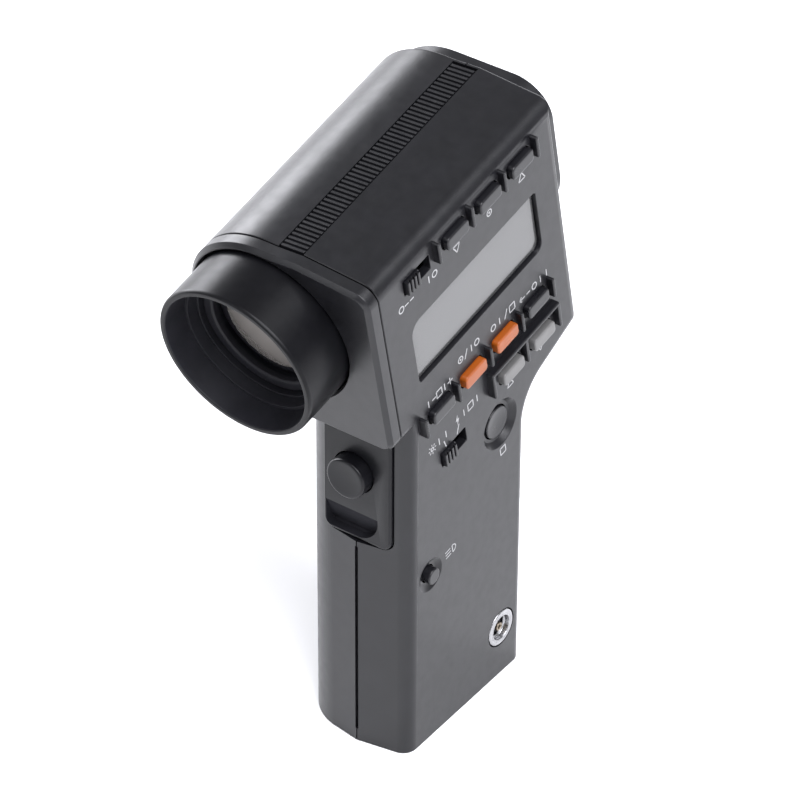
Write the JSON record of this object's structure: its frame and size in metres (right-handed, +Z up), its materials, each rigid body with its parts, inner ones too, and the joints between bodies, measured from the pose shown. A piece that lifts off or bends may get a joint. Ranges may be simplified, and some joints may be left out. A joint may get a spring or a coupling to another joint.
{
  "type": "handheld light meter",
  "caption": "Pistol-grip spot light meter with a round lens hood, rear eyepiece, side display and keys, front measuring button and battery grip.",
  "frame": {"origin": "centre of the grip's flat base, on the surface the meter stands on", "axes": "+Z up along the grip, -Y towards what the lens points at, +X out of the key and display panel"},
  "size_m": [0.0505, 0.0935, 0.1479],
  "materials": {
    "body_plastic": "fine textured, satin black",
    "dark_plastic": "smooth black",
    "orange_plastic": "smooth orange",
    "grey_plastic": "smooth light grey",
    "lens_glass": "coated glass",
    "window": "clear window",
    "display": "grey display glass",
    "steel": "bright steel",
    "brass": "turned brass",
    "board": "green circuit board",
    "rubber": "dark rubber",
    "battery_skin": "painted steel can"
  },
  "bodies": {
    "meter_body": {"right_shell": "body_plastic", "left_shell": "body_plastic", "grip_strip": "body_plastic", "front_bezel": "body_plastic", "lens_hood": "dark_plastic", "retaining_ring": "dark_plastic", "front_lens": "lens_glass", "rear_lens": "lens_glass", "baffle_tube": "dark_plastic", "optics_chassis": "dark_plastic", "beam_splitter": "lens_glass", "field_mask": "steel", "finder_display": "display", "light_cell": "steel", "eyepiece_tube": "dark_plastic", "eyepiece_lens": "lens_glass", "rear_cover": "body_plastic", "display_window": "window", "display_module": "display", "display_frame": "dark_plastic", "main_board": "board", "upper_key_mat": "rubber", "lower_key_mat": "rubber", "trigger_plate": "body_plastic", "measuring_spring": "steel", "measuring_switch": "dark_plastic", "grip_board": "board", "battery": "battery_skin", "battery_spring": "steel", "battery_contact": "steel", "tripod_bush": "brass", "sync_socket": "steel", "sync_insulator": "dark_plastic", "sync_pin": "brass", "grip_screw_lower": "steel", "grip_screw_upper": "steel", "grip_screw_rear": "steel"},
    "shadow_key": {"shadow_key": "dark_plastic"},
    "average_key": {"average_key": "dark_plastic"},
    "highlight_key": {"highlight_key": "dark_plastic"},
    "memory_clear_key": {"memory_clear_key": "dark_plastic"},
    "aperture_key": {"aperture_key": "orange_plastic"},
    "time_key": {"time_key": "orange_plastic"},
    "recall_key": {"recall_key": "dark_plastic"},
    "up_key": {"up_key": "grey_plastic"},
    "down_key": {"down_key": "grey_plastic"},
    "memory_button": {"memory_button": "dark_plastic"},
    "lamp_button": {"lamp_button": "dark_plastic"},
    "measuring_button": {"measuring_button": "dark_plastic"},
    "power_switch": {"power_switch": "dark_plastic"},
    "mode_switch": {"mode_switch": "dark_plastic"},
    "diopter_ring": {"diopter_ring": "dark_plastic"},
    "battery_cover": {"battery_cover": "body_plastic"}
  },
  "joints": [
    {"name": "shadow_key_press", "type": "slide", "parent": "meter_body", "child": "shadow_key", "axis": [-1, 0, 0], "range_m": [0, 0.0008], "stiffness_N_per_m": 900, "springref_m": -0.0003},
    {"name": "average_key_press", "type": "slide", "parent": "meter_body", "child": "average_key", "axis": [-1, 0, 0], "range_m": [0, 0.0008], "stiffness_N_per_m": 900, "springref_m": -0.0003},
    {"name": "highlight_key_press", "type": "slide", "parent": "meter_body", "child": "highlight_key", "axis": [-1, 0, 0], "range_m": [0, 0.0008], "stiffness_N_per_m": 900, "springref_m": -0.0003},
    {"name": "memory_clear_key_press", "type": "slide", "parent": "meter_body", "child": "memory_clear_key", "axis": [-1, 0, 0], "range_m": [0, 0.0008], "stiffness_N_per_m": 900, "springref_m": -0.0003},
    {"name": "aperture_key_press", "type": "slide", "parent": "meter_body", "child": "aperture_key", "axis": [-1, 0, 0], "range_m": [0, 0.0008], "stiffness_N_per_m": 900, "springref_m": -0.0003},
    {"name": "time_key_press", "type": "slide", "parent": "meter_body", "child": "time_key", "axis": [-1, 0, 0], "range_m": [0, 0.0008], "stiffness_N_per_m": 900, "springref_m": -0.0003},
    {"name": "recall_key_press", "type": "slide", "parent": "meter_body", "child": "recall_key", "axis": [-1, 0, 0], "range_m": [0, 0.0008], "stiffness_N_per_m": 900, "springref_m": -0.0003},
    {"name": "up_key_press", "type": "slide", "parent": "meter_body", "child": "up_key", "axis": [-1, 0, 0], "range_m": [0, 0.0008], "stiffness_N_per_m": 900, "springref_m": -0.0003},
    {"name": "down_key_press", "type": "slide", "parent": "meter_body", "child": "down_key", "axis": [-1, 0, 0], "range_m": [0, 0.0008], "stiffness_N_per_m": 900, "springref_m": -0.0003},
    {"name": "memory_button_press", "type": "slide", "parent": "meter_body", "child": "memory_button", "axis": [-1, 0, 0], "range_m": [0, 0.0008], "stiffness_N_per_m": 900, "springref_m": -0.0003},
    {"name": "lamp_button_press", "type": "slide", "parent": "meter_body", "child": "lamp_button", "axis": [-1, 0, 0], "range_m": [0, 0.0008], "stiffness_N_per_m": 900, "springref_m": -0.0003},
    {"name": "measuring_button_press", "type": "slide", "parent": "meter_body", "child": "measuring_button", "axis": [0, 1, 0], "range_m": [0, 0.0015], "stiffness_N_per_m": 1200, "springref_m": -0.0004, "deforming": ["measuring_spring"]},
    {"name": "power_switch_slide", "type": "slide", "parent": "meter_body", "child": "power_switch", "axis": [0, 0.9794, 0.2018], "range_m": [0, 0.0039]},
    {"name": "mode_switch_slide", "type": "slide", "parent": "meter_body", "child": "mode_switch", "axis": [0, 0.9794, 0.2018], "range_m": [0, 0.0039]},
    {"name": "diopter_turn", "type": "hinge", "parent": "meter_body", "child": "diopter_ring", "pos_m": [-0.01263, 0.03782, 0.12733], "axis": [0, 0.9794, 0.2018], "range_deg": [-90, 90]},
    {"name": "battery_cover_hinge", "type": "hinge", "parent": "meter_body", "child": "battery_cover", "pos_m": [-0.003, 0.0165, 0.001], "axis": [1, 0, 0], "range_deg": [0, 90]}
  ]
}
